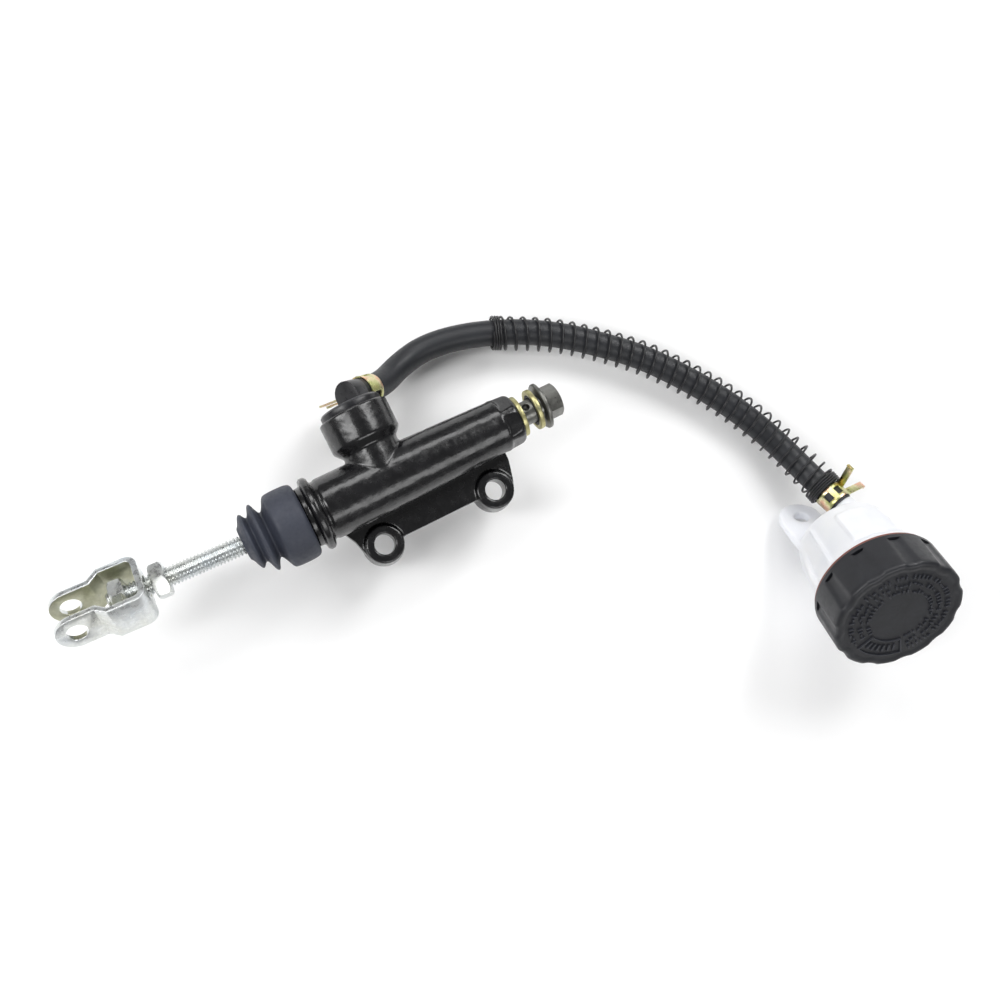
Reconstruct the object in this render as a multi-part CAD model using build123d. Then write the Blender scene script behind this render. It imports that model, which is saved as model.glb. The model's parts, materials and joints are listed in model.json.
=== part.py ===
from build123d import *
import os
from math import cos, pi, radians, sin, tan

# Rear brake master cylinder with push rod, feed hose and remote reservoir. Millimetres.
# The origin is the centre of the two mounting holes on the mounting face. +X runs along
# the cylinder bore towards the banjo bolt, +Y from the holes to the feed boss, and +Z
# along the mounting holes, away from the mounting face.

# Mounting ears and the bore's place
HOLE_SPACING = 50.0
HOLE_RADIUS = 4.25
EAR_RADIUS = 8.7
EAR_FACE_RADIUS = 7.8
EAR_HEIGHT = 10.0
WEB_BOTTOM = 2.0
WEB_TOP = 8.0
BORE_Y = 22.0
BORE_Z = 19.0

# Cylinder bore and the casting along it (X stations)
BORE_RADIUS = 6.35
RUNNING_CLEARANCE = 0.05
NOSE_END = -54.0
BORE_STEP = -44.0
NOSE_BORE_RADIUS = 8.0
FLANGE_X = -44.1
FLANGE_RADIUS = 15.0
TUBE_RADIUS = 12.5
BODY_END_RADIUS = 10.8
COLLAR_X = 35.8
CASTING_END = 43.5
HEX_FLATS = 19.4
PORT_RADIUS = 5.05
PORT_DEPTH = 12.0

# Feed boss, square to the bore
BOSS_X = -14.4
BOSS_RADIUS = 14.2
BOSS_NECK_RADIUS = 11.4
BOSS_SHOULDER = 39.0
BOSS_TOP = 52.0
BOSS_WELL_RADIUS = 9.6
BOSS_WELL_FLOOR = 36.0

# Hose elbow
ELBOW_Y = 58.9
ELBOW_ANGLE = 45.0
ELBOW_RADIUS = 5.7
ELBOW_BACK = 1.2
ELBOW_FRONT = 8.0
ELBOW_DROP = 5.2
ELBOW_FLANGE_RADIUS = 12.5
ELBOW_FLANGE_CUT = 7.8
ELBOW_FLANGE_HEIGHT = 3.0
SPIGOT_RADIUS = 3.4
SPIGOT_BORE = 2.2
LOWER_SPIGOT_END = 16.0
HOSE_START = 8.0
HOSE_TURN = 23.4

# Push rod, nuts and clevis (M8)
ROD_RADIUS = 3.97
ROD_END = -127.5
ROD_TILT = 2.35
BOOT_LIP_CLEARANCE = 0.05
BALL_X = -38.3
BALL_RADIUS = 5.6
NUT_FLATS = 12.7
NUT_BORE_RADIUS = 4.02
LOCK_NUT_X = (-110.0, -104.5)
CLEVIS_NUT_X = (-125.5, -120.0)
CLEVIS_ROLL = 52.0
CLEVIS_PIN_X = -140.8
CLEVIS_BASE_X = -112.5
CLEVIS_EAR_HALF = 7.7
CLEVIS_BODY_HALF = 11.2
CLEVIS_STRAP = 2.4
CLEVIS_WIDTH = 15.6
CLEVIS_PIN_RADIUS = 4.0

# Banjo bolt (M10) and its bonded washers
SHANK_RADIUS = 4.95
INNER_WASHER_X = 43.8
OUTER_WASHER_X = 50.9
WASHER_THICKNESS = 1.9
WASHER_RADIUS = 8.5
WASHER_LIP_RADIUS = 6.6
BOLT_FLANGE_X = 54.5
BOLT_HEAD_HEIGHT = 8.3
BOLT_FLANGE_RADIUS = 9.6
BOLT_HEAD_FLATS = 12.0
BOLT_TIP = 36.0
CROSS_HOLE_X = 48.2
CROSS_HOLE_ROLL = -22.0

# Feed hose and its guard spring
HOSE_RADIUS = 5.5
HOSE_BORE_RADIUS = 3.43
GUARD_INNER_RADIUS = 5.9
GUARD_OUTER_RADIUS = 8.0
CLIP_WIDTH = 7.2
CLIP_GAP = 0.1
CLIP_THICKNESS = 0.9
TANG_WIDTH = 3.2
LOWER_CLIP_AT = 14.1
LOWER_TANG_REACH = 17.0
UPPER_CLIP_AT = 4.6
UPPER_TANG_REACH = 13.0
UPPER_TANG_LEAN = 52.0
GUARD_END_AT = 8.6

# Reservoir: its own frame has the cap's face at 0 and the bottom below it
CAP_CENTRE = Vector(143.5, -118.0, 40.0)
RESERVOIR_AXIS = Vector(-0.224, -0.631, 0.743).normalized()
RESERVOIR_RIGHT = Vector(0.9473, -0.3200, 0.0137)
CAP_RADIUS = 27.5
CAP_HEIGHT = 19.5
CAP_WALL = 2.6
CAP_GRIPS = 11
GRIP_PHASE = 25.3
GRIP_RADIUS = 7.5
GRIP_DEPTH = 0.9
GRIP_STOP = 3.0
NECK_RADIUS = 24.0
RESERVOIR_TOP_RADIUS = 23.0
RESERVOIR_BOTTOM_RADIUS = 20.5
RESERVOIR_DEPTH = 52.0
RESERVOIR_WALL = 2.0
TAB_X = -12.2
TAB_Z = -66.8
TAB_RADIUS = 9.6
TAB_HOLE_RADIUS = 3.3
TAB_THICKNESS = 4.0
SPIGOT_BOSS = 12.5

OUTLET = Vector(cos(radians(ELBOW_ANGLE)), 0, -sin(radians(ELBOW_ANGLE)))
ELBOW_CENTRE = Vector(BOSS_X, ELBOW_Y, BORE_Z)
HOSE_END = Vector(160.3, -72.4, 4.3)
HOSE_END_DIRECTION = Vector(0.15, -0.88, 0.45).normalized()
LOWER_TANG = Vector(-0.70, 0.15, -0.70)
UPPER_TANG = Vector(0.90, 0.31, 0.31)

# The hose's route: out of the elbow, down to the height it lies at, round and up again
HOSE_ROUTE = [
    ELBOW_CENTRE + OUTLET * HOSE_START,
    ELBOW_CENTRE + OUTLET * HOSE_TURN,
    Vector(14.6, 65.0, -6.2),
    Vector(28.6, 68.0, -8.0),
    Vector(46.4, 65.4, -8.0),
    Vector(67.0, 58.2, -8.0),
    Vector(84.4, 48.6, -8.0),
    Vector(99.8, 36.6, -8.0),
    Vector(113.6, 24.4, -8.0),
    Vector(125.6, 10.0, -8.0),
    Vector(136.0, -4.4, -8.0),
    Vector(144.6, -19.2, -8.0),
    Vector(152.0, -35.4, -8.0),
    HOSE_END - HOSE_END_DIRECTION * 17.0,
    HOSE_END,
]
GUARD_FIRST = 5


def on_bore(shape):
    return Pos(0, BORE_Y, BORE_Z) * shape


def turned(*points):
    """Solid of revolution about the bore axis, from (x, radius) points."""
    return on_bore(revolve(make_face(Polyline(*points, close=True)), Axis.X))


def bore_ring(x0, x1, inner, outer):
    return turned((x0, inner), (x1, inner), (x1, outer), (x0, outer))


def bore_rod(x0, x1, radius):
    return turned((x0, 0), (x1, 0), (x1, radius), (x0, radius))


def boss_turned(*points):
    """Solid of revolution about the feed boss's axis, from (radius, y) points."""
    face = make_face(Polyline(*points, close=True))
    return Pos(BOSS_X, 0, BORE_Z) * revolve(face, Axis.Y)


def hex_bar(x0, x1, flats, roll=0.0):
    outline = RegularPolygon(flats / 2, 6, major_radius=False, rotation=roll)
    return on_bore(extrude(Plane.YZ.offset(x0) * outline, x1 - x0))


def hex_nut(x0, x1, flats, hole, roll=0.0):
    """Hexagon nut whose corners are chamfered by a double cone."""
    corner = flats / 2 / cos(pi / 6)
    drop = corner - flats / 2
    rounding = turned(
        (x0, 0), (x0, flats / 2), (x0 + drop, corner), (x1 - drop, corner), (x1, flats / 2), (x1, 0)
    )
    return (hex_bar(x0, x1, flats, roll) & rounding) - bore_rod(x0 - 1, x1 + 1, hole)


def casting_outer():
    """Barrel, nose under the boot, flange ring and faceted end."""
    flange = FLANGE_X
    barrel = turned(
        (NOSE_END, 0), (NOSE_END, 10.4), (NOSE_END + 1, 11.4), (-51.6, 11.4), (-51.6, 10.2),
        (-48.4, 10.2), (-48.4, 12.2), (flange - 1.9, 12.2), (flange - 1.9, FLANGE_RADIUS - 1),
        (flange - 0.9, FLANGE_RADIUS), (flange + 0.7, FLANGE_RADIUS), (flange + 1.7, FLANGE_RADIUS - 1),
        (flange + 1.9, 12.3), (flange + 2.9, 11.8), (-40.0, TUBE_RADIUS), (-28.0, TUBE_RADIUS),
        (-2.0, 11.9), (COLLAR_X - 1.2, BODY_END_RADIUS), (COLLAR_X - 0.6, BODY_END_RADIUS + 0.15),
        (COLLAR_X + 0.6, BODY_END_RADIUS + 0.15), (COLLAR_X + 1.4, 10.2), (COLLAR_X + 1.4, 0),
    )
    rounding = turned(
        (COLLAR_X, 0), (COLLAR_X, 10.9), (CASTING_END - 1.2, 10.4), (CASTING_END, 9.6), (CASTING_END, 0)
    )
    facets = hex_bar(COLLAR_X, CASTING_END, HEX_FLATS, roll=14) & rounding
    return barrel + facets


def feed_boss():
    low = BORE_Y + 4
    return boss_turned(
        (0, low), (BOSS_NECK_RADIUS, low), (BOSS_NECK_RADIUS, BOSS_SHOULDER - 2.6),
        (BOSS_RADIUS - 0.4, BOSS_SHOULDER), (BOSS_RADIUS, BOSS_SHOULDER + 0.8),
        (BOSS_RADIUS, BOSS_TOP - 0.6), (BOSS_RADIUS - 0.6, BOSS_TOP), (0, BOSS_TOP),
    )


def mounting_ears():
    """Two drafted hole bosses and the web that joins them to the barrel."""
    half = HOLE_SPACING / 2
    outline = Polyline(
        (-37.4, BORE_Y), (-37.2, 10.0), (-35.0, 5.8), (-half - 7.8, -2.6), (-half, 0), (-half + 8.0, -0.5),
        (half - 8.0, -0.5), (half, 0), (half + 7.9, -2.2), (34.2, 1.6), (36.0, 9.0), (36.0, BORE_Y), close=True,
    )
    web = extrude(Plane.XY.offset(WEB_BOTTOM) * make_face(outline), WEB_TOP - WEB_BOTTOM)
    for x in (-half, half):
        boss = Pos(x, 0, EAR_HEIGHT / 2) * Cone(EAR_RADIUS, EAR_FACE_RADIUS, EAR_HEIGHT)
        web += fillet(boss.edges().group_by(Axis.Z)[-1], 0.9)
    return web


def cylinder_body():
    body = casting_outer() + feed_boss() + mounting_ears()
    for x in (-HOLE_SPACING / 2, HOLE_SPACING / 2):
        body -= Pos(x, 0, 0) * Cylinder(HOLE_RADIUS, 60)
    body -= bore_rod(BORE_STEP, CASTING_END - PORT_DEPTH, BORE_RADIUS)
    body -= bore_rod(NOSE_END - 1, BORE_STEP, NOSE_BORE_RADIUS)
    body -= bore_rod(-47.0, -45.6, NOSE_BORE_RADIUS + 1.0)
    body -= bore_rod(CASTING_END - PORT_DEPTH - 1, CASTING_END + 1, PORT_RADIUS)
    body -= boss_turned((0, BOSS_WELL_FLOOR), (BOSS_WELL_RADIUS, BOSS_WELL_FLOOR), (BOSS_WELL_RADIUS, 60), (0, 60))
    body -= boss_turned((0, 48.9), (10.5, 48.9), (10.5, 50.1), (0, 50.1))
    for offset, radius in ((-2.5, 1.4), (3.5, 0.7)):
        port = Pos(BOSS_X + offset, BORE_Y + 10, BORE_Z) * Rot(90, 0, 0) * Cylinder(radius, 14)
        body -= port
    return body


def piston():
    radius = BORE_RADIUS - RUNNING_CLEARANCE
    spool = turned(
        (-43.9, 0), (-43.9, radius), (-31.0, radius), (-31.0, 4.4), (-27.6, 4.4), (-27.6, radius),
        (-25.6, radius), (-25.6, 4.2), (-13.0, 4.2), (-13.0, radius), (-10.6, radius), (-10.6, 3.2),
        (-7.0, 3.2), (-7.0, 0),
    )
    ball = on_bore(Pos(BALL_X, 0, 0) * Sphere(BALL_RADIUS + 0.1))
    return spool - ball - bore_rod(-45.0, BALL_X, BALL_RADIUS + 0.1)


def lip_cup(x0, x1, core):
    """Seal cup with a flared lip on its pressure side, clear of the bore wall."""
    outer = BORE_RADIUS - RUNNING_CLEARANCE
    return turned(
        (x0, core + 0.02), (x0, outer - 0.3), (x1, outer), (x1, outer - 0.9),
        (x0 + 1.3, core + 0.9), (x0 + 1.3, core + 0.02),
    )


def along_rod(shape):
    """Lean a shape built on the bore axis with the push rod, about its ball."""
    pivot = Pos(BALL_X, BORE_Y, BORE_Z)
    return pivot * Rot(0, 0, -ROD_TILT) * pivot.inverse() * shape


def push_rod():
    rod = bore_rod(ROD_END, BALL_X, ROD_RADIUS)
    rod = chamfer(rod.edges().group_by(Axis.X)[0], 0.6)
    return along_rod(rod + on_bore(Pos(BALL_X, 0, 0) * Sphere(BALL_RADIUS)))


def dust_boot():
    """Cup that snaps over the casting's nose, then two folds down to the rod."""
    bellows = turned(
        (-48.6, 10.3), (-48.6, 13.6), (-50.3, 15.3), (-59.8, 15.2), (-60.6, 14.4), (-63.3, 9.3), (-63.9, 9.3),
        (-65.9, 13.8), (-66.6, 13.8), (-68.7, 9.2), (-69.2, 9.2), (-71.0, 11.2), (-71.7, 11.2),
        (-73.4, 7.0), (-74.2, 6.4), (-74.2, 0), (-72.8, 0), (-72.8, 5.6), (-72.2, 6.6), (-71.3, 9.0),
        (-69.4, 7.6), (-68.4, 7.6), (-66.2, 11.9), (-64.1, 7.8), (-63.0, 7.8), (-59.4, 13.2),
        (-58.0, 13.7), (-51.3, 13.7), (-51.3, 10.3),
    )
    return bellows - along_rod(bore_rod(-80.0, -70.0, ROD_RADIUS + BOOT_LIP_CLEARANCE))


def clevis_local():
    """U-shaped strap in its own frame: X along the rod, Y across the ears, Z the strap's width."""
    half, ear, t = CLEVIS_BODY_HALF, CLEVIS_EAR_HALF, CLEVIS_STRAP
    corner = 4.5
    tip = CLEVIS_PIN_X - CLEVIS_WIDTH / 2
    outer = Polyline(
        (tip, -ear), (-131.6, -ear), (-127.6, -half), (CLEVIS_BASE_X, -half),
        (CLEVIS_BASE_X, half), (-127.6, half), (-131.6, ear), (tip, ear), close=True,
    )
    inner = Polyline(
        (tip - 1, -ear + t), (-131.0, -ear + t), (-127.0, -half + t), (CLEVIS_BASE_X - t, -half + t),
        (CLEVIS_BASE_X - t, half - t), (-127.0, half - t), (-131.0, ear - t), (tip - 1, ear - t), close=True,
    )
    solid = extrude(make_face(outer), CLEVIS_WIDTH / 2, both=True)
    corners = solid.edges().filter_by(Axis.Z).group_by(Axis.X)[-1]
    solid = fillet(corners, corner)
    hollow = extrude(make_face(inner), CLEVIS_WIDTH / 2 + 1, both=True)
    hollow = fillet(hollow.edges().filter_by(Axis.Z).group_by(Axis.X)[-1], corner - t)
    strap = solid - hollow
    rounding = Pos(CLEVIS_PIN_X, 0, 0) * Rot(90, 0, 0) * Cylinder(CLEVIS_WIDTH / 2, 40)
    rounding += Pos((CLEVIS_PIN_X + CLEVIS_BASE_X) / 2, 0, 0) * Box(CLEVIS_BASE_X - CLEVIS_PIN_X, 40, CLEVIS_WIDTH)
    strap = strap & rounding
    strap -= Pos(CLEVIS_PIN_X, 0, 0) * Rot(90, 0, 0) * Cylinder(CLEVIS_PIN_RADIUS, 40)
    return strap - Pos(CLEVIS_BASE_X, 0, 0) * Rot(0, 90, 0) * Cylinder(ROD_RADIUS + 0.35, 12)


def clevis():
    return along_rod(on_bore(Rot(CLEVIS_ROLL - 90, 0, 0) * clevis_local()))


def seal_washer(x):
    return bore_ring(x, x + WASHER_THICKNESS, WASHER_LIP_RADIUS, WASHER_RADIUS)


def seal_lip(x):
    """Rubber lip bonded inside the washer, thicker than the metal at its crown."""
    outer, inner = WASHER_LIP_RADIUS, SHANK_RADIUS + 0.35
    middle = (outer + inner) / 2
    return turned(
        (x + 0.3, outer), (x - 0.25, middle), (x + 0.2, inner), (x + WASHER_THICKNESS - 0.2, inner),
        (x + WASHER_THICKNESS + 0.25, middle), (x + WASHER_THICKNESS - 0.3, outer),
    )


def banjo_bolt():
    """Flanged hexagon head, cross-drilled shank and fluid passage."""
    x = BOLT_FLANGE_X
    flange = turned(
        (x, 0), (x, BOLT_FLANGE_RADIUS - 0.4), (x + 0.4, BOLT_FLANGE_RADIUS), (x + 1.3, BOLT_FLANGE_RADIUS),
        (x + 2.3, 7.4), (x + 2.3, 0),
    )
    head_end = x + BOLT_HEAD_HEIGHT
    crown = turned((x, 0), (x, 8), (head_end - 1.1, 8), (head_end, 5.6), (head_end, 0))
    head = hex_bar(x + 1, head_end, BOLT_HEAD_FLATS, roll=10) & crown
    bolt = flange + head + bore_rod(BOLT_TIP, x, SHANK_RADIUS)
    bolt -= bore_rod(BOLT_TIP - 1, CROSS_HOLE_X + 1, 2.0)
    cross = Pos(CROSS_HOLE_X, BORE_Y, BORE_Z) * Rot(CROSS_HOLE_ROLL, 0, 0) * Cylinder(1.6, 24)
    return bolt - cross


def outlet_plane(distance):
    """Plane square to the elbow's outlet, local Y pointing down the boss."""
    origin = ELBOW_CENTRE + OUTLET * distance
    return Plane(origin=origin, x_dir=(-OUTLET.Z, 0, OUTLET.X), z_dir=OUTLET)


def hose_elbow():
    """Plug, round flange, arch-backed knuckle and barbed spigot."""
    flange_top = BOSS_TOP + ELBOW_FLANGE_HEIGHT
    base = boss_turned(
        (0, 42.0), (9.2, 42.0), (9.2, 44.6), (8.3, 44.6), (8.3, 46.8), (9.2, 46.8), (9.2, BOSS_TOP + 0.05),
        (ELBOW_FLANGE_RADIUS, BOSS_TOP + 0.05), (ELBOW_FLANGE_RADIUS, flange_top - 0.8),
        (ELBOW_FLANGE_RADIUS - 0.8, flange_top), (0, flange_top),
    )
    beyond = outlet_plane(ELBOW_FLANGE_CUT).location * Pos(0, 0, 10) * Box(60, 60, 20)
    base -= beyond
    drop = ELBOW_Y - flange_top + 0.5
    arch = Circle(ELBOW_RADIUS) + Pos(0, drop / 2) * Rectangle(2 * ELBOW_RADIUS, drop)
    knuckle = extrude(outlet_plane(ELBOW_BACK) * arch, ELBOW_FRONT - ELBOW_BACK)
    spigot = extrude(outlet_plane(ELBOW_FRONT) * Circle(SPIGOT_RADIUS), LOWER_SPIGOT_END - ELBOW_FRONT)
    passage = extrude(outlet_plane(ELBOW_BACK + 1) * Circle(SPIGOT_BORE), LOWER_SPIGOT_END)
    drilling = Pos(OUTLET * ELBOW_DROP) * boss_turned((0, 41), (SPIGOT_BORE, 41), (SPIGOT_BORE, ELBOW_Y), (0, ELBOW_Y))
    return base + knuckle + spigot - passage - drilling


def boss_ring(y0, y1, inner, outer):
    return boss_turned((inner, y0), (outer, y0), (outer, y1), (inner, y1))


def corner_radii(points):
    """Largest tangent arcs that two neighbouring arcs leave room for on each run."""
    radii = []
    for before, here, after in zip(points, points[1:], points[2:]):
        turn = radians((here - before).get_angle(after - here))
        shorter = min((here - before).length, (after - here).length)
        radii.append(0.45 * shorter / tan(turn / 2))
    return radii


def route_sweep(points, radii, radius):
    path = FilletPolyline(*points, radius=radii)
    start = Plane(origin=path @ 0, z_dir=path % 0)
    return sweep(start * Circle(radius), path), path.length


def feed_hose():
    radii = corner_radii(HOSE_ROUTE)
    print("hose bend radii", [round(r) for r in radii])
    outer, length = route_sweep(HOSE_ROUTE, radii, HOSE_RADIUS)
    inner, length = route_sweep(HOSE_ROUTE, radii, HOSE_BORE_RADIUS)
    hose = outer - inner
    section = pi * (HOSE_RADIUS**2 - HOSE_BORE_RADIUS**2)
    print("hose length", round(length, 1), "volume", round(hose.volume), "expected", round(section * length))
    return hose


def guard_spring():
    """Envelope of the coil that sleeves the hose, from the middle of a run to the upper clip."""
    radii = corner_radii(HOSE_ROUTE)
    start = (HOSE_ROUTE[GUARD_FIRST - 1] + HOSE_ROUTE[GUARD_FIRST]) * 0.5
    end = HOSE_END - HOSE_END_DIRECTION * GUARD_END_AT
    points = [start] + HOSE_ROUTE[GUARD_FIRST:-1] + [end]
    outer, length = route_sweep(points, radii[GUARD_FIRST - 1 :], GUARD_OUTER_RADIUS)
    inner, length = route_sweep(points, radii[GUARD_FIRST - 1 :], GUARD_INNER_RADIUS)
    print("guard spring length", round(length, 1))
    return outer - inner


def hose_clip(centre, direction, tang, lean, reach):
    """Spring band around the hose with two tangs, each leaning away from the other."""
    inner = HOSE_RADIUS + CLIP_GAP
    frame = Plane(origin=centre, x_dir=tang, z_dir=direction)
    band = Circle(inner + CLIP_THICKNESS) - Circle(inner)
    clip = extrude(frame.offset(-CLIP_WIDTH / 2) * band, CLIP_WIDTH)
    root = inner + 0.4
    aside = (CLIP_WIDTH - TANG_WIDTH) / 2
    for side in (-1, 1):
        blade = Pos(reach / 2, side * CLIP_THICKNESS / 2, -side * aside) * Box(reach, CLIP_THICKNESS, TANG_WIDTH)
        clip += frame.location * Pos(root, 0, 0) * Rot(0, 0, side * lean) * blade
    return clip


def lower_hose_clip():
    return hose_clip(ELBOW_CENTRE + OUTLET * LOWER_CLIP_AT, OUTLET, LOWER_TANG, 0, LOWER_TANG_REACH)


def upper_hose_clip():
    centre = HOSE_END - HOSE_END_DIRECTION * UPPER_CLIP_AT
    return hose_clip(centre, HOSE_END_DIRECTION, UPPER_TANG, UPPER_TANG_LEAN, UPPER_TANG_REACH)


def in_reservoir(shape):
    frame = Plane(origin=CAP_CENTRE, x_dir=RESERVOIR_RIGHT, z_dir=RESERVOIR_AXIS)
    return frame.location * shape


def spun(*points):
    """Solid of revolution about the reservoir's axis, from (radius, height) points."""
    face = make_face(Polyline(*points, close=True))
    return revolve(Plane.XZ * face, Axis.Z)


def mounting_tab():
    """Side bracket from under the cap down to a rounded lug with a bolt hole."""
    left, right = TAB_X - TAB_RADIUS, TAB_X + TAB_RADIUS
    outline = Polyline(
        (-19.0, -22.0), (-24.0, -22.0), (-24.2, -31.0), (-20.8, -46.0), (left, -57.0), (left, TAB_Z),
        (TAB_X, TAB_Z - 1), (right, TAB_Z), (right, -50.5), (-15.0, -50.5), (-19.0, -30.0), close=True,
    )
    plate = Plane.XZ * make_face(outline) + Plane.XZ * Pos(TAB_X, TAB_Z) * Circle(TAB_RADIUS)
    tab = extrude(plate, TAB_THICKNESS / 2, both=True)
    return tab - Pos(TAB_X, 0, TAB_Z) * Rot(90, 0, 0) * Cylinder(TAB_HOLE_RADIUS, 20)


def reservoir_body():
    depth, wall = RESERVOIR_DEPTH, RESERVOIR_WALL
    top, bottom = RESERVOIR_TOP_RADIUS, RESERVOIR_BOTTOM_RADIUS
    shell = spun(
        (0, -depth), (bottom - 2.0, -depth), (bottom, -depth + 2.0), (top, -23.5), (top, -22.5),
        (26.4, -22.5), (26.4, -20.5), (NECK_RADIUS, -20.5), (NECK_RADIUS, -5.6), (0, -5.6),
    )
    hollow = spun(
        (0, -depth + wall), (bottom - 3.0, -depth + wall), (bottom - wall, -depth + 4.0), (top - wall, -23.5),
        (top - wall, 0), (0, 0),
    )
    base = HOSE_END + HOSE_END_DIRECTION * SPIGOT_BOSS
    barb = Plane(origin=base, z_dir=HOSE_END_DIRECTION * -1)
    pipe = extrude(barb * Circle(SPIGOT_RADIUS), SPIGOT_BOSS + 7.5)
    boss = extrude(barb * Circle(HOSE_RADIUS), SPIGOT_BOSS)
    bore = extrude(barb.offset(-4) * Circle(SPIGOT_BORE), SPIGOT_BOSS + 15)
    solid = in_reservoir(shell + mounting_tab()) + boss + pipe
    return solid - in_reservoir(hollow) - bore


def reservoir_cap():
    """Screw cap with wide grip scallops around its skirt."""
    h, r = CAP_HEIGHT, CAP_RADIUS
    cap = spun((0, 0), (r - 1.6, 0), (r - 0.4, -0.8), (r, -2.0), (r, -h), (0, -h))
    cap -= spun((0, -CAP_WALL), (r - CAP_WALL, -CAP_WALL), (r - CAP_WALL, -h - 1), (0, -h - 1))
    reach = r + GRIP_RADIUS - GRIP_DEPTH
    for index in range(CAP_GRIPS):
        scallop = Pos(reach, 0, -(h - GRIP_STOP) / 2) * Cylinder(GRIP_RADIUS, h - GRIP_STOP)
        cap -= Rot(0, 0, GRIP_PHASE + index * 360 / CAP_GRIPS) * scallop
    return in_reservoir(cap)


def cap_disc(z0, z1, inner, outer):
    return in_reservoir(spun((inner, z0), (outer, z0), (outer, z1), (inner, z1)))


def parts():
    middle = BORE_RADIUS - RUNNING_CLEARANCE
    yield "cylinder_body", cylinder_body()
    yield "piston", piston()
    yield "primary_cup", lip_cup(-10.4, -7.4, 3.2)
    yield "secondary_cup", lip_cup(-30.8, -27.8, 4.4)
    yield "return_spring", bore_ring(-5.0, CASTING_END - PORT_DEPTH - 0.1, 5.1, 6.05)
    yield "spring_seat", bore_ring(-6.8, -5.2, 3.3, middle - 0.3)
    yield "stop_washer", bore_ring(-45.2, BORE_STEP - 0.02, 5.15, NOSE_BORE_RADIUS - 0.1)
    yield "rod_circlip", bore_ring(-46.8, -45.8, 6.6, NOSE_BORE_RADIUS + 0.8)
    yield "push_rod", push_rod()
    yield "dust_boot", dust_boot()
    yield "lock_nut", along_rod(hex_nut(*LOCK_NUT_X, NUT_FLATS, NUT_BORE_RADIUS, roll=22))
    yield "clevis_nut", along_rod(hex_nut(*CLEVIS_NUT_X, NUT_FLATS, NUT_BORE_RADIUS, roll=22))
    yield "clevis", clevis()
    yield "inner_seal_washer", seal_washer(INNER_WASHER_X)
    yield "inner_seal_lip", seal_lip(INNER_WASHER_X)
    yield "outer_seal_washer", seal_washer(OUTER_WASHER_X)
    yield "outer_seal_lip", seal_lip(OUTER_WASHER_X)
    yield "banjo_bolt", banjo_bolt()
    yield "hose_elbow", hose_elbow()
    yield "elbow_o_ring", boss_ring(44.7, 46.7, 8.35, BOSS_WELL_RADIUS - 0.05)
    yield "elbow_circlip", boss_ring(49.0, 50.0, 9.3, 10.4)
    yield "lower_hose_clip", lower_hose_clip()
    yield "feed_hose", feed_hose()
    yield "guard_spring", guard_spring()
    yield "upper_hose_clip", upper_hose_clip()
    yield "reservoir_body", reservoir_body()
    yield "reservoir_diaphragm", cap_disc(-5.5, -4.5, 0.0, 23.9)
    yield "diaphragm_plate", cap_disc(-4.4, -2.8, 8.0, 24.2)
    yield "cap_seal_ring", cap_disc(-20.4, -19.6, 24.4, 26.9)
    yield "reservoir_cap", reservoir_cap()


os.makedirs("parts", exist_ok=True)
for name, shape in parts():
    export_step(shape, f"parts/{name}.step")
    print(name, "solids", len(shape.solids()))
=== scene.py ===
"""Looks of a rear brake master cylinder with push rod, feed hose and remote reservoir."""

import json
import math
import random

import bmesh
import bpy
from mathutils import Matrix, Vector, noise


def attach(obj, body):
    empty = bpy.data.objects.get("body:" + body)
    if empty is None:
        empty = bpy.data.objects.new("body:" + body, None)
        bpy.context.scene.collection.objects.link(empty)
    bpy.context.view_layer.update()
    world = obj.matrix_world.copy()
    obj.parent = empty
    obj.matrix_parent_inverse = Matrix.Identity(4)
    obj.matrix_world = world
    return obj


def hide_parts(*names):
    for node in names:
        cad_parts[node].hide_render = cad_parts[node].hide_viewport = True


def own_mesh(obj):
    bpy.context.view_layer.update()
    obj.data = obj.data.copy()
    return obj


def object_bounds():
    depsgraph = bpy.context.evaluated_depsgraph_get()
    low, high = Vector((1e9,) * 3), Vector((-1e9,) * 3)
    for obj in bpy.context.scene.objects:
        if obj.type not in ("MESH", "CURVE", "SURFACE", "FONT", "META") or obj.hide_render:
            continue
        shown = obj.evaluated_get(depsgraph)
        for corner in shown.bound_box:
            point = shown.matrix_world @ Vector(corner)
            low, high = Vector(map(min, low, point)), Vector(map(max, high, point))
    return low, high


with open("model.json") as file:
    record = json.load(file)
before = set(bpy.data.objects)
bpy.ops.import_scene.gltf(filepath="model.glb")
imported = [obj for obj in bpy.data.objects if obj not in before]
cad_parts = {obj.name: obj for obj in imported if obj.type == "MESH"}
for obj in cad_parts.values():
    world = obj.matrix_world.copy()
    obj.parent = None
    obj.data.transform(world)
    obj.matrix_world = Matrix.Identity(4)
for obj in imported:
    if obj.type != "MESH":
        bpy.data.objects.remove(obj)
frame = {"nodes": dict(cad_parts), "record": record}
cad_low, cad_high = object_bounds()
NODES = frame["nodes"]
BEHAVIOUR = frame["record"]["behaviour"]
BODY_OF = {node: body for body, group in BEHAVIOUR["bodies"].items() for node in group}
JOINTS = {joint["name"]: joint for joint in BEHAVIOUR["joints"]}
MOUNTS = {mount["name"]: mount for mount in frame["record"]["mounts"]}
SLOT_OF = {part["node"]: part["material_slot"] for part in frame["record"]["subparts"]}
MM = 0.001


def mm(*values):
    """Point given in millimetres, in metres."""
    return Vector(values) * MM


# ---------------------------------------------------------------- camera
FOCAL_LENGTH = 39.6
SENSOR_WIDTH = 36.0
NEAREST_SEEN = 0.01
CAMERA_PLACE = mm(-63.41, -10.54, 448.63)
CAMERA_RIGHT = Vector((0.8786, -0.4461, 0.1704))
CAMERA_BACK = Vector((-0.1968, -0.0132, 0.9803))


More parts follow.
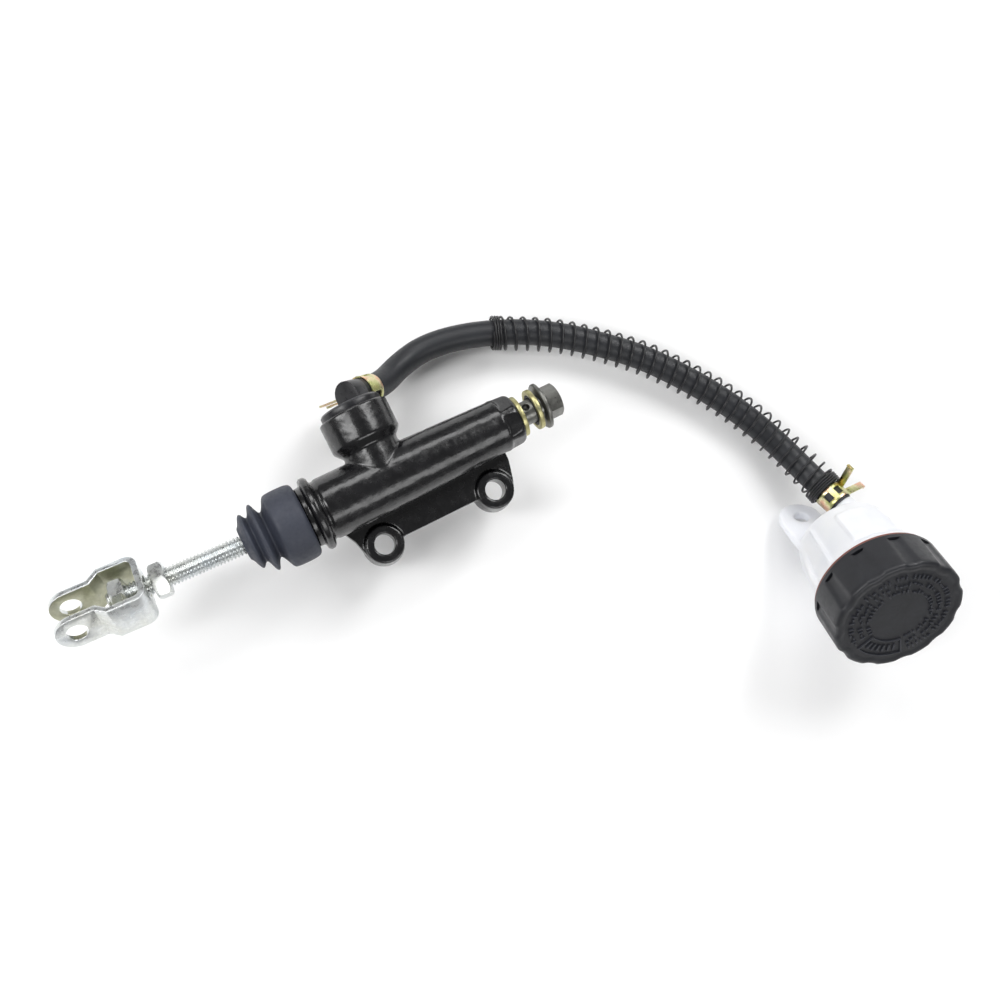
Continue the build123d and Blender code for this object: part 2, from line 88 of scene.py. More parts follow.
def make_camera():
    data = bpy.data.cameras.new("camera")
    data.lens = FOCAL_LENGTH
    data.sensor_width = SENSOR_WIDTH
    data.clip_start = NEAREST_SEEN
    camera = bpy.data.objects.new("camera", data)
    bpy.context.scene.collection.objects.link(camera)
    back = CAMERA_BACK.normalized()
    up = back.cross(CAMERA_RIGHT).normalized()
    turn = Matrix((up.cross(back), up, back)).transposed().to_4x4()
    camera.matrix_world = Matrix.Translation(CAMERA_PLACE) @ turn
    bpy.context.scene.camera = camera


make_camera()

# ---------------------------------------------------------------- materials
GRAIN_ROUGHNESS = 0.55
NOISE_LOW, NOISE_HIGH = 0.3, 0.7
STAINS_PER_METRE = 90.0


class Nodes:
    """Small helper that builds one material's node tree."""

    def __init__(self, name):
        self.material = bpy.data.materials.new(name)
        self.material.use_nodes = True
        self.tree = self.material.node_tree
        self.shader = self.tree.nodes["Principled BSDF"]
        self.place = self.add("ShaderNodeTexCoord").outputs["Object"]

    def add(self, kind, **settings):
        node = self.tree.nodes.new(kind)
        for key, value in settings.items():
            setattr(node, key, value)
        return node

    def link(self, source, target):
        self.tree.links.new(source, target)

    def set(self, **values):
        for key, value in values.items():
            self.shader.inputs[key.replace("_", " ")].default_value = value

    def grain(self, scale, detail):
        """Fractal noise; scale is in features per metre."""
        node = self.add("ShaderNodeTexNoise")
        node.inputs["Scale"].default_value = scale
        node.inputs["Detail"].default_value = detail
        node.inputs["Roughness"].default_value = GRAIN_ROUGHNESS
        self.link(self.place, node.inputs["Vector"])
        return node.outputs["Fac"]

    def ramp(self, factor, *stops):
        """Colour ramp with stops of (position, colour)."""
        node = self.add("ShaderNodeValToRGB")
        elements = node.color_ramp.elements
        while len(elements) < len(stops):
            elements.new(0.5)
        for element, (position, colour) in zip(elements, stops):
            element.position = position
            element.color = (*colour, 1.0)
        self.link(factor, node.inputs["Fac"])
        return node.outputs["Color"]

    def span(self, factor, low, high, start=NOISE_LOW, stop=NOISE_HIGH):
        """Value between low and high as the factor goes from start to stop."""
        node = self.add("ShaderNodeMapRange")
        node.inputs["From Min"].default_value = start
        node.inputs["From Max"].default_value = stop
        node.inputs["To Min"].default_value = low
        node.inputs["To Max"].default_value = high
        self.link(factor, node.inputs["Value"])
        return node.outputs["Result"]

    def mix(self, factor, first, second):
        """Blend of two colours, each a plain colour or a node's output."""
        node = self.add("ShaderNodeMix", data_type="RGBA")
        if isinstance(factor, float):
            node.inputs[0].default_value = factor
        else:
            self.link(factor, node.inputs[0])
        for socket, value in ((node.inputs[6], first), (node.inputs[7], second)):
            if isinstance(value, tuple):
                socket.default_value = (*value, 1.0)
            else:
                self.link(value, socket)
        return node.outputs[2]

    def bumps(self, *layers):
        """Chain of bump nodes from (height, distance in mm, strength)."""
        normal = None
        for height, distance, strength in layers:
            node = self.add("ShaderNodeBump")
            node.inputs["Distance"].default_value = distance * MM
            node.inputs["Strength"].default_value = strength
            self.link(height, node.inputs["Height"])
            if normal:
                self.link(normal, node.inputs["Normal"])
            normal = node.outputs["Normal"]
        self.link(normal, self.shader.inputs["Normal"])

    def edges(self, start, stop):
        """Worn edges, from how sharply the surface bends outwards."""
        geometry = self.add("ShaderNodeNewGeometry")
        return self.span(geometry.outputs["Pointiness"], 0.0, 1.0, start, stop)

    def colour(self, output):
        self.link(output, self.shader.inputs["Base Color"])

    def roughness(self, output):
        self.link(output, self.shader.inputs["Roughness"])


def painted_casting():
    n = Nodes("painted_casting")
    base = n.ramp(n.grain(180, 3), (0.3, (0.0030, 0.0030, 0.0036)),
                  (0.7, (0.0065, 0.0065, 0.0075)))
    n.colour(n.mix(n.edges(0.55, 0.7), base, (0.016, 0.016, 0.018)))
    n.roughness(n.span(n.grain(260, 5), 0.17, 0.33))
    n.set(Specular_IOR_Level=0.5, Coat_Weight=0.25, Coat_Roughness=0.14)
    n.bumps((n.grain(120, 2), 0.25, 0.2), (n.grain(900, 4), 0.09, 0.45),
            (n.grain(2600, 2), 0.035, 0.4))
    return n.material


def zinc_plate():
    """Bright zinc with a faint blue and yellow cast."""
    n = Nodes("zinc_plate")
    tint = n.ramp(n.grain(70, 3), (0.32, (0.66, 0.70, 0.73)), (0.5, (0.74, 0.76, 0.75)),
                  (0.68, (0.70, 0.71, 0.66)))
    n.colour(n.mix(n.span(n.grain(900, 5), 0.0, 0.35), tint, (0.44, 0.46, 0.48)))
    n.roughness(n.span(n.grain(500, 6), 0.2, 0.42))
    n.set(Metallic=1.0)
    n.bumps((n.grain(350, 3), 0.12, 0.3), (n.grain(3000, 3), 0.015, 0.5))
    return n.material


def dark_zinc():
    n = Nodes("dark_zinc")
    n.colour(n.ramp(n.grain(160, 4), (0.3, (0.13, 0.13, 0.12)), (0.7, (0.22, 0.22, 0.205))))
    n.roughness(n.span(n.grain(700, 5), 0.26, 0.5))
    n.set(Metallic=0.9)
    n.bumps((n.grain(900, 4), 0.05, 0.5),)
    return n.material


def passivated_gold():
    """Yellow passivation, which runs from gold through green to pink."""
    n = Nodes("passivated_gold")
    film = n.ramp(n.grain(110, 2), (0.3, (0.62, 0.46, 0.20)), (0.45, (0.52, 0.56, 0.24)),
                  (0.56, (0.74, 0.66, 0.42)), (0.68, (0.76, 0.42, 0.30)),
                  (0.78, (0.50, 0.52, 0.42)))
    n.colour(n.mix(n.span(n.grain(1500, 4), 0.0, 0.3), film, (0.3, 0.26, 0.12)))
    n.roughness(n.span(n.grain(900, 5), 0.22, 0.42))
    n.set(Metallic=1.0)
    n.bumps((n.grain(1800, 3), 0.02, 0.5),)
    return n.material


def washer_gold():
    n = Nodes("washer_gold")
    film = n.ramp(n.grain(140, 3), (0.3, (0.40, 0.38, 0.18)), (0.5, (0.56, 0.52, 0.27)),
                  (0.7, (0.44, 0.46, 0.30)))
    n.colour(n.mix(n.span(n.grain(1600, 4), 0.0, 0.35), film, (0.2, 0.18, 0.1)))
    n.roughness(n.span(n.grain(900, 5), 0.3, 0.5))
    n.set(Metallic=1.0)
    n.bumps((n.grain(1500, 3), 0.03, 0.5),)
    return n.material


def bright_steel(name, low, high):
    n = Nodes(name)
    n.colour(n.ramp(n.grain(400, 4), (0.3, (low, low, low * 1.02)),
                    (0.7, (high, high, high * 0.98))))
    n.roughness(n.span(n.grain(1200, 5), 0.2, 0.4))
    n.set(Metallic=1.0)
    n.bumps((n.grain(2500, 3), 0.015, 0.4),)
    return n.material


def rubber(name, dark, light, rough, fine=1400.0, depth=0.05):
    """Matt rubber with slow stains and a fine skin; depth is in mm."""
    n = Nodes(name)
    specks = n.span(n.grain(fine * 0.6, 4), 0.0, 0.5)
    stains = n.ramp(n.grain(STAINS_PER_METRE, 4), (0.3, dark), (0.7, light))
    n.colour(n.mix(specks, stains, dark))
    n.roughness(n.span(n.grain(fine * 0.4, 5), *rough))
    n.bumps((n.grain(STAINS_PER_METRE * 3, 3), depth * 3, 0.25), (n.grain(fine, 4), depth, 0.45))
    return n.material


def milky_plastic():
    n = Nodes("milky_plastic")
    n.colour(n.ramp(n.grain(60, 2), (0.3, (0.75, 0.77, 0.83)), (0.7, (0.82, 0.83, 0.87))))
    n.roughness(n.span(n.grain(300, 4), 0.28, 0.42))
    n.set(Subsurface_Weight=0.85, Subsurface_Radius=(1.0, 1.0, 1.05), Subsurface_Scale=0.006)
    n.set(Coat_Weight=0.15, Coat_Roughness=0.25)
    n.bumps((n.grain(150, 2), 0.25, 0.2), (n.grain(1800, 2), 0.01, 0.4))
    return n.material


def moulded_plastic(name, dark, light, rough, depth):
    """Hard plastic, paler along its edges; depth of the fine skin is in mm."""
    n = Nodes(name)
    base = n.ramp(n.grain(140, 3), (0.3, dark), (0.7, light))
    n.colour(n.mix(n.edges(0.53, 0.62), base, tuple(min(1.0, c * 2.0) for c in light)))
    n.roughness(n.span(n.grain(600, 5), *rough))
    n.bumps((n.grain(2600, 3), depth, 0.55), (n.grain(90, 2), 0.2, 0.15))
    return n.material


def zinc_inner_painted_shade():
    """Yellower and darker zinc for the clevis strap's inner faces: the yellow is the plating's
    tint, the darkening is painted shade between the straps.
    """
    n = Nodes("zinc_inner_painted_shade")
    # colours darker than zinc_plate's: painted shade on the faces that look into the strap
    film = n.ramp(n.grain(120, 3), (0.3, (0.38, 0.39, 0.27)), (0.55, (0.50, 0.50, 0.38)),
                  (0.75, (0.46, 0.48, 0.42)))
    n.colour(n.mix(n.span(n.grain(900, 4), 0.0, 0.3), film, (0.24, 0.24, 0.18)))
    n.roughness(n.span(n.grain(700, 5), 0.3, 0.5))
    n.set(Metallic=1.0)
    n.bumps((n.grain(2600, 3), 0.02, 0.5),)
    return n.material


MATERIALS = {
    "zinc_inner_painted_shade": zinc_inner_painted_shade(),
    "painted_casting": painted_casting(),
    "anodised_aluminium": bright_steel("anodised_aluminium", 0.5, 0.66),
    "seal_rubber": rubber("seal_rubber", (0.010, 0.010, 0.011), (0.02, 0.02, 0.021),
                          (0.4, 0.6)),
    "spring_steel": bright_steel("spring_steel", 0.3, 0.5),
    "zinc_plate": zinc_plate(),
    "passivated_gold": passivated_gold(),
    "washer_gold": washer_gold(),
    "dark_zinc": dark_zinc(),
    "boot_rubber": rubber("boot_rubber", (0.027, 0.031, 0.046), (0.038, 0.043, 0.062),
                          (0.5, 0.7)),
    "hose_rubber": rubber("hose_rubber", (0.008, 0.009, 0.012), (0.014, 0.0155, 0.020),
                          (0.4, 0.56), 1800.0, 0.04),
    "black_spring": moulded_plastic("black_spring", (0.004, 0.004, 0.005),
                                    (0.008, 0.008, 0.009), (0.28, 0.45), 0.01),
    "elbow_plastic": moulded_plastic("elbow_plastic", (0.006, 0.006, 0.008),
                                     (0.011, 0.011, 0.014), (0.25, 0.4), 0.02),
    "milky_plastic": milky_plastic(),
    "brown_rubber": rubber("brown_rubber", (0.16, 0.05, 0.035), (0.26, 0.09, 0.06),
                           (0.5, 0.7)),
    "cap_plastic": moulded_plastic("cap_plastic", (0.0085, 0.009, 0.012),
                                   (0.013, 0.014, 0.018), (0.36, 0.5), 0.03),
}
for node, obj in NODES.items():
    obj.data.materials.clear()
    obj.data.materials.append(MATERIALS[SLOT_OF[node]])

# ---------------------------------------------------------------- hose, along the CAD's route (mm)
HOSE_RADIUS = 5.5
OUTLET_DROP = math.radians(45)
OUTLET = Vector((math.cos(OUTLET_DROP), 0, -math.sin(OUTLET_DROP)))
ELBOW = Vector((-14.4, 58.9, 19.0))
HOSE_END = Vector((160.3, -72.4, 4.3))
HOSE_END_DIRECTION = Vector((0.15, -0.88, 0.45)).normalized()
ROUTE = [
    ELBOW + OUTLET * 8.0,
    ELBOW + OUTLET * 23.4,
    Vector((14.6, 65.0, -6.2)),
    Vector((28.6, 68.0, -8.0)),
    Vector((46.4, 65.4, -8.0)),
    Vector((67.0, 58.2, -8.0)),
    Vector((84.4, 48.6, -8.0)),
    Vector((99.8, 36.6, -8.0)),
    Vector((113.6, 24.4, -8.0)),
    Vector((125.6, 10.0, -8.0)),
    Vector((136.0, -4.4, -8.0)),
    Vector((144.6, -19.2, -8.0)),
    Vector((152.0, -35.4, -8.0)),
    HOSE_END - HOSE_END_DIRECTION * 17.0,
    HOSE_END,
]


def spline_curve(name, points, bevel):
    """Smooth open curve whose control points are the given route."""
    data = bpy.data.curves.new(name, "CURVE")
    data.dimensions = "3D"
    spline = data.splines.new("NURBS")
    spline.points.add(len(points) - 1)
    for slot, point in zip(spline.points, points):
        slot.co = (*(point * MM), 1.0)
    spline.order_u = 3
    spline.use_endpoint_u = True
    spline.resolution_u = 24
    data.bevel_depth = bevel
    data.bevel_resolution = 10
    data.use_fill_caps = True
    obj = bpy.data.objects.new(name, data)
    bpy.context.scene.collection.objects.link(obj)
    return obj


class Line:
    """The hose's centreline in millimetres, with a frame that turns as little as it can."""

    def __init__(self, points):
        guide = spline_curve("guide", points, 0.0)
        bpy.context.view_layer.update()
        mesh = bpy.data.meshes.new_from_object(guide)
        self.points = [v.co / MM for v in mesh.vertices]
        bpy.data.objects.remove(guide)
        self.stations = [0.0]
        for before, after in zip(self.points, self.points[1:]):
            self.stations.append(self.stations[-1] + (after - before).length)
        self.length = self.stations[-1]
        side = Vector((0, 0, 1))
        self.sides = []
        for before, after in zip(self.points, self.points[1:]):
            tangent = (after - before).normalized()
            side = (side - tangent * side.dot(tangent)).normalized()
            self.sides.append(side)

    def at(self, station):
        """Point, tangent and two side vectors at a length along the line."""
        index = 0
        while index < len(self.sides) - 1 and self.stations[index + 1] < station:
            index += 1
        start, end = self.points[index], self.points[index + 1]
        share = (station - self.stations[index]) / (self.stations[index + 1] - self.stations[index])
        tangent = (end - start).normalized()
        side = self.sides[index]
        return start.lerp(end, share), tangent, side, tangent.cross(side)


HOSE_LINE = Line(ROUTE)
hose = spline_curve("hose", ROUTE, HOSE_RADIUS * MM)
hose.data.materials.append(MATERIALS["hose_rubber"])
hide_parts("feed_hose")
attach(hose, "housing")


# ---------------------------------------------------------------- making pieces
CREASE = 35.0
WELD_DISTANCE = 1e-6


def put(name, bm, node, crease, scale=MM):
    """Object that stands for a CAD node, from a bmesh in millimetres unless scale is 1."""
    bmesh.ops.scale(bm, vec=(scale, scale, scale), verts=bm.verts)
    bmesh.ops.recalc_face_normals(bm, faces=bm.faces)
    mesh = bpy.data.meshes.new(name)
    bm.to_mesh(mesh)
    bm.free()
    obj = bpy.data.objects.new(name, mesh)
    bpy.context.scene.collection.objects.link(obj)
    mesh.materials.append(MATERIALS[SLOT_OF[node]])
    shade(obj, crease)
    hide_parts(node)
    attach(obj, BODY_OF[node])
    return obj


def shade(obj, crease):
    """Smooth shading, with edges sharper than the crease angle kept."""
    for polygon in obj.data.polygons:
        polygon.use_smooth = True
    obj.data.set_sharp_from_angle(angle=math.radians(crease))


def apply(obj, kind, **settings):
    """Run one modifier and keep its result as the object's mesh."""
    modifier = obj.modifiers.new(kind.lower(), kind)
    for key, value in settings.items():
        setattr(modifier, key, value)
    bpy.context.view_layer.update()
    evaluated = obj.evaluated_get(bpy.context.evaluated_depsgraph_get())
    mesh = bpy.data.meshes.new_from_object(evaluated)
    obj.modifiers.clear()
    obj.data = mesh
    return obj


def copy_of(node):
    """Welded bmesh of a CAD node, in metres."""
    bm = bmesh.new()
    bm.from_mesh(NODES[node].data)
    bmesh.ops.remove_doubles(bm, verts=bm.verts, dist=WELD_DISTANCE)
    return bm


def rounded(name, node, width, segments=2):
    """CAD node with its sharp edges rounded; width is in mm."""
    bm = copy_of(node)
    bmesh.ops.dissolve_limit(bm, angle_limit=math.radians(1.0), verts=bm.verts, edges=bm.edges)
    obj = put(name, bm, node, CREASE, scale=1.0)
    apply(obj, "BEVEL", width=width * MM, segments=segments, limit_method="ANGLE",
          angle_limit=math.radians(30.0))
    shade(obj, CREASE)
    return obj


def grid(bm, rows, closed_rows=False, closed_columns=True):
    """Quads between rows of vertices of one length."""
    count = len(rows[0])
    for first, second in zip(rows, rows[1:] + ([rows[0]] if closed_rows else [])):
        for index in range(count if closed_columns else count - 1):
            after = (index + 1) % count
            bm.faces.new((first[index], first[after], second[after], second[index]))


def ring(bm, place, along, radius, steps):
    """Circle of vertices about the local X axis; radius may depend on the angle."""
    row = []
    for step in range(steps):
        angle = step * math.tau / steps
        r = radius(angle) if callable(radius) else radius
        row.append(bm.verts.new(place @ Vector((along, r * math.cos(angle), r * math.sin(angle)))))
    return row


def close(bm, row, centre):
    """Fan of triangles that closes a ring of vertices."""
    middle = bm.verts.new(centre)
    for index, vertex in enumerate(row):
        bm.faces.new((vertex, row[(index + 1) % len(row)], middle))


def corner_cut(points, times):
    """Round a closed outline by cutting its corners."""
    for _ in range(times):
        cut = []
        for here, after in zip(points, points[1:] + points[:1]):
            here, after = Vector(here), Vector(after)
            cut += [here.lerp(after, 0.25), here.lerp(after, 0.75)]
        points = cut
    return points


def tube(bm, centres, radius, sides, spine):
    """Round wire through points, each with its direction away from the coil's spine."""
    rows = []
    for index, centre in enumerate(centres):
        before = centres[max(index - 1, 0)]
        after = centres[min(index + 1, len(centres) - 1)]
        tangent = (after - before).normalized()
        out = spine[index] - tangent * spine[index].dot(tangent)
        out.normalize()
        across = tangent.cross(out)
        rows.append([
            bm.verts.new(centre + (out * math.cos(a) + across * math.sin(a)) * radius)
            for a in (side * math.tau / sides for side in range(sides))
        ])
    grid(bm, rows)
    close(bm, rows[0], centres[0])
    close(bm, rows[-1], centres[-1])


# ---------------------------------------------------------------- casting
BORE_Y, BORE_Z = 22.0, 19.0
BORE = Matrix.Translation((0, BORE_Y, BORE_Z))
CASTING_VOXEL = 0.42
CASTING_PASSES = 3
CASTING_WAVE = 0.06
CASTING_HEX_X = 36.0
HEX_SHARE = 0.35
WAVES_PER_METRE = (260.0, 640.0)


def remeshed(name, node, voxel, passes, bm=None):
    """Even skin over a CAD node, smoothed so that its edges round as a moulding's do."""
    obj = put(name, bm or copy_of(node), node, 180.0, scale=1.0)
    apply(obj, "REMESH", mode="VOXEL", voxel_size=voxel * MM)
    apply(obj, "SMOOTH", factor=0.5, iterations=passes)
    return obj


def as_cast(obj, amount):
    """Uneven skin left by the mould, fainter on the machined end; amount is in mm."""
    coarse, fine = WAVES_PER_METRE
    normals = [n.vector.copy() for n in obj.data.vertex_normals]
    for vertex, normal in zip(obj.data.vertices, normals):
        wave = noise.noise(vertex.co * coarse) + 0.5 * noise.noise(vertex.co * fine)
        calm = HEX_SHARE if vertex.co.x > CASTING_HEX_X * MM else 1.0
        vertex.co += normal * wave * amount * calm * MM


def make_casting():
    obj = remeshed("casting", "cylinder_body", CASTING_VOXEL, CASTING_PASSES)
    as_cast(obj, CASTING_WAVE)
    shade(obj, 60.0)


# ---------------------------------------------------------------- push rod, boot, nuts and clevis
ROD_RADIUS = 3.97
ROD_START_X = -127.5
ROD_CHAMFER = 0.9
ROD_NECK_INSET = 0.4
ROD_SIDES = 56
THREAD_END_X = -56.0
THREAD_PITCH = 1.411
THREAD_DEPTH = 0.75
THREAD_SAMPLES = 8
BALL_X = -38.3
BALL_RADIUS = 5.6
BALL_STEPS = 14


def rod_place():
    """Turns the bore's frame to the rod's, about the ball's centre."""
    axis = Vector(JOINTS["clevis_turn"]["axis"]).normalized()
    up = Vector((0, 0, 1))
    turn = Matrix((axis, up.cross(axis), up)).transposed().to_4x4()
    ball = Matrix.Translation((BALL_X, BORE_Y, BORE_Z))
    return ball @ turn @ Matrix.Translation((-BALL_X, 0, 0))


ROD = rod_place()


def make_push_rod():
    """Threaded rod with a ball at the piston's end."""
    bm = bmesh.new()
    rows = []
    count = int((THREAD_END_X - ROD_START_X) / THREAD_PITCH * THREAD_SAMPLES)
    for index in range(count):
        x = ROD_START_X + index * THREAD_PITCH / THREAD_SAMPLES
        limit = min(1.0, (x - ROD_START_X) / ROD_CHAMFER)

        def thread(angle, x=x, limit=limit):
            phase = (x / THREAD_PITCH - angle / math.tau) % 1.0
            valley = min(1.0, max(0.0, 1.6 * abs(2 * phase - 1) - 0.3))
            return min(ROD_RADIUS - THREAD_DEPTH * valley, ROD_RADIUS - 1.0 + limit)

        rows.append(ring(bm, ROD, x, thread, ROD_SIDES))
    rows.append(ring(bm, ROD, THREAD_END_X + 0.6, ROD_RADIUS - ROD_NECK_INSET, ROD_SIDES))
    neck = math.asin((ROD_RADIUS - ROD_NECK_INSET) / BALL_RADIUS)
    for index in range(BALL_STEPS):
        angle = neck + (math.pi - neck) * index / BALL_STEPS
        along = BALL_X - BALL_RADIUS * math.cos(angle)
        rows.append(ring(bm, ROD, along, BALL_RADIUS * math.sin(angle), ROD_SIDES))
    grid(bm, rows)
    close(bm, rows[0], ROD @ Vector((ROD_START_X, 0, 0)))
    close(bm, rows[-1], ROD @ Vector((BALL_X + BALL_RADIUS, 0, 0)))
    put("threaded_push_rod", bm, "push_rod", 50.0)


BOOT_LEAN_X = -60.0
BOOT_LEAN_RUN = 12.0
BOOT_SIDES = 112
BOOT_OUTLINE = [
    (-48.6, 11.4), (-48.6, 13.9), (-50.1, 15.3), (-55.0, 15.5), (-59.6, 15.3), (-60.8, 14.4),
    (-62.3, 10.8), (-63.6, 9.1), (-64.8, 11.2), (-65.6, 13.6), (-66.4, 14.0), (-67.2, 13.2),
    (-68.3, 10.0), (-69.0, 9.1), (-69.8, 9.9), (-70.6, 11.2), (-71.5, 11.3), (-72.4, 9.6),
    (-73.2, 7.4), (-74.2, 6.4), (-74.3, 4.02), (-72.7, 4.02), (-72.5, 5.8), (-71.4, 9.0),
    (-70.8, 9.2), (-69.2, 7.3), (-68.2, 8.0), (-66.3, 11.8), (-64.4, 8.6), (-63.5, 7.5),
    (-62.0, 8.6), (-59.6, 13.2), (-58.0, 13.7), (-51.3, 13.7), (-51.0, 11.4),
]


def make_boot():
    """Cup and two folds, whose small end leans over to stay on the rod."""
    bm = bmesh.new()
    tilt = math.asin(-JOINTS["clevis_turn"]["axis"][1])
    rows = []
    for along, radius in corner_cut(BOOT_OUTLINE, 2):
        lean = min(1.0, max(0.0, (BOOT_LEAN_X - along) / BOOT_LEAN_RUN))
        aside = (BALL_X - along) * math.sin(tilt) * lean
        rows.append(ring(bm, BORE @ Matrix.Translation((0, aside, 0)), along, radius, BOOT_SIDES))
    grid(bm, rows, closed_rows=True)
    obj = put("rubber_boot", bm, "dust_boot", 60.0)
    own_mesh(obj)


SPRING_START_X, SPRING_END_X = -4.6, 31.2
SPRING_TURNS = 11.0
SPRING_WIRE = 0.45
SPRING_RADIUS = 5.58
SPRING_STEPS = 30
WIRE_SIDES = 8


def make_return_spring():
    """Coil inside the bore, with its turns spaced evenly along it."""
    steps = int(SPRING_TURNS * SPRING_STEPS)
    centres, spine = [], []
    for index in range(steps + 1):
        share = index / steps
        angle = share * SPRING_TURNS * math.tau
        out = Vector((0, math.cos(angle), math.sin(angle)))
        along = SPRING_START_X + share * (SPRING_END_X - SPRING_START_X)
        centres.append(BORE @ (Vector((along, 0, 0)) + out * SPRING_RADIUS))
        spine.append(out)
    bm = bmesh.new()
    tube(bm, centres, SPRING_WIRE, WIRE_SIDES, spine)
    obj = put("return_spring_coil", bm, "return_spring", 60.0)
    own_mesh(obj)


STRAP_INNER_REACH = 3.0
STRAP_INNER_FACING = -0.35


def make_clevis():
    """Bright strap whose inner faces get a yellower, darker zinc: the plating's yellow tint, and
    painted shade between the straps.
    """
    obj = rounded("clevis_strap", "clevis", 0.45, 3)
    obj.data.materials.append(MATERIALS["zinc_inner_painted_shade"])
    axis = Vector(JOINTS["clevis_turn"]["axis"]).normalized()
    origin = Vector(JOINTS["clevis_turn"]["pos_m"])
    for polygon in obj.data.polygons:
        out = polygon.center - origin
        out -= axis * out.dot(axis)
        if out.length <= STRAP_INNER_REACH * MM:
            continue
        if polygon.normal.dot(out.normalized()) < STRAP_INNER_FACING:
            # faces turned towards the pivot take the darker zinc, which is painted shade
            polygon.material_index = 1


# ---------------------------------------------------------------- guard spring
GUARD_START_X = 57.0
GUARD_END_AT = 8.8
GUARD_RADIUS = 6.95
GUARD_WIRE = 0.5
GUARD_PITCH = 5.25
GUARD_STEPS = 36
CLOSED_PITCH = 1.06
CLOSED_TURNS_START, CLOSED_TURNS_END = 3.0, 3.6
OPENING_RUN = 4.0
CALM_RUN = 10.0
GUARD_DRIFT = (-0.85, 0.9)
GUARD_GROWTH = 0.8


def guard_turns(length):
    """Length along the hose of every step of the coil: closed, open, closed."""
    station, stations = 0.0, []
    while station < length:
        from_end = min(station, length - station)
        turns = CLOSED_TURNS_START if station < length / 2 else CLOSED_TURNS_END
        share = min(1.0, max(0.0, (from_end - turns * CLOSED_PITCH) / OPENING_RUN))
        stations.append(station)
        station += (CLOSED_PITCH + (GUARD_PITCH - CLOSED_PITCH) * share) / GUARD_STEPS
    return stations


def make_guard_spring():
    """Loose coil round the hose, which lies a little to one side and widens along it."""
    line = zip(HOSE_LINE.stations, HOSE_LINE.points)
    start = next(station for station, point in line if point.x >= GUARD_START_X)
    end = HOSE_LINE.length - GUARD_END_AT
    turn = math.tau / GUARD_STEPS
    centres, spine = [], []
    for index, station in enumerate(guard_turns(end - start)):
        point, tangent, side, across = HOSE_LINE.at(start + station)
        out = side * math.cos(index * turn) + across * math.sin(index * turn)
        share = station / (end - start)
        calm = min(1.0, station / CALM_RUN, (end - start - station) / CALM_RUN)
        drift = (GUARD_DRIFT[0] + (GUARD_DRIFT[1] - GUARD_DRIFT[0]) * share) * calm
        aside = Vector((-tangent.y, tangent.x, 0.0)).normalized() * drift
        centres.append(point + aside + out * (GUARD_RADIUS + GUARD_GROWTH * share ** 2))
        spine.append(out)
    bm = bmesh.new()
    tube(bm, centres, GUARD_WIRE, WIRE_SIDES, spine)
    return put("guard_coil", bm, "guard_spring", 60.0)


# ---------------------------------------------------------------- hose clips
CLIP_WIDTH = 7.2
CLIP_MIDDLE = 6.0
CLIP_STRIP = 0.78
CLIP_STEPS, CLIP_ROWS = 180, 8
SLOT_MARGIN = 2
TANG_WIDTH = 3.2
TANG_ROOT = 0.45
CLIP_WINDOWS = ((38, 68), (92, 122), (196, 226), (262, 292))


def clip_place(centre, direction, tang):
    """Frame with X towards the tangs and Z along the hose."""
    z = direction.normalized()
    x = (tang - z * tang.dot(z)).normalized()
    return Matrix.Translation(centre) @ Matrix((x, z.cross(x), z)).transposed().to_4x4()


def clip_band(bm, place):
    """Strip bent round the hose, with the slots that the tangs' tongues run in."""
    verts = []
    for step in range(CLIP_STEPS):
        angle = step * math.tau / CLIP_STEPS
        x, y = CLIP_MIDDLE * math.cos(angle), CLIP_MIDDLE * math.sin(angle)
        column = []
        for row in range(CLIP_ROWS + 1):
            z = (row / CLIP_ROWS - 0.5) * CLIP_WIDTH
            column.append(bm.verts.new(place @ Vector((x, y, z))))
        verts.append(column)
    for step in range(CLIP_STEPS):
        degrees = step * 360 / CLIP_STEPS
        slot = any(low <= degrees < high for low, high in CLIP_WINDOWS)
        for row in range(CLIP_ROWS):
            if slot and SLOT_MARGIN <= row < CLIP_ROWS - SLOT_MARGIN:
                continue
            after = verts[(step + 1) % CLIP_STEPS]
            bm.faces.new((verts[step][row], after[row], after[row + 1], verts[step][row + 1]))


def clip_tang(bm, place, outline, middle):
    """Ribbon through points in the cross-section, at one side of the band."""
    rows = []
    for x, y in outline:
        rows.append([
            bm.verts.new(place @ Vector((x, y, middle + side * TANG_WIDTH / 2)))
            for side in (-1, 1)
        ])
    grid(bm, rows, closed_columns=False)


def leaning(reach, lean, side, fold):
    """Points out along a tang that leans to one side, with a folded tip."""
    angle = math.radians(lean) * side
    direction = Vector((math.cos(angle), math.sin(angle)))
    across = Vector((-direction.y, direction.x)) * side
    root = Vector((CLIP_MIDDLE, side * TANG_ROOT))
    points = [root + direction * reach * share for share in (0, 0.3, 0.6, 0.86, 1.0)]
    return points + [points[-1] + across * fold + direction * 0.4]


def make_clip(name, node, centre, direction, tang, lean, reach, fold):
    """Spring clip on the hose, with two tangs that lie beside each other."""
    place = clip_place(centre, direction, tang)
    bm = bmesh.new()
    clip_band(bm, place)
    aside = (CLIP_WIDTH - TANG_WIDTH) / 2
    for side in (-1, 1):
        clip_tang(bm, place, leaning(reach, lean, side, fold), -side * aside)
    obj = put(name, bm, node, 40.0)
    apply(obj, "SOLIDIFY", thickness=CLIP_STRIP * MM, offset=0.0, use_even_offset=True)
    apply(obj, "BEVEL", width=0.12 * MM, segments=2, limit_method="ANGLE",
          angle_limit=math.radians(40.0))
    shade(obj, 40.0)


# ---------------------------------------------------------------- reservoir and cap
def reservoir_place():
    """Frame at the cap's face: Z out of the face, X towards the side away from the tab."""
    z = Vector(JOINTS["cap_turn"]["axis"]).normalized()
    y = -Vector(MOUNTS["reservoir_tab_hole"]["axis"]).normalized()
    x = y.cross(z).normalized()
    centre = Vector(JOINTS["cap_turn"]["pos_m"]) / MM
    return Matrix.Translation(centre) @ Matrix((x, z.cross(x), z)).transposed().to_4x4()


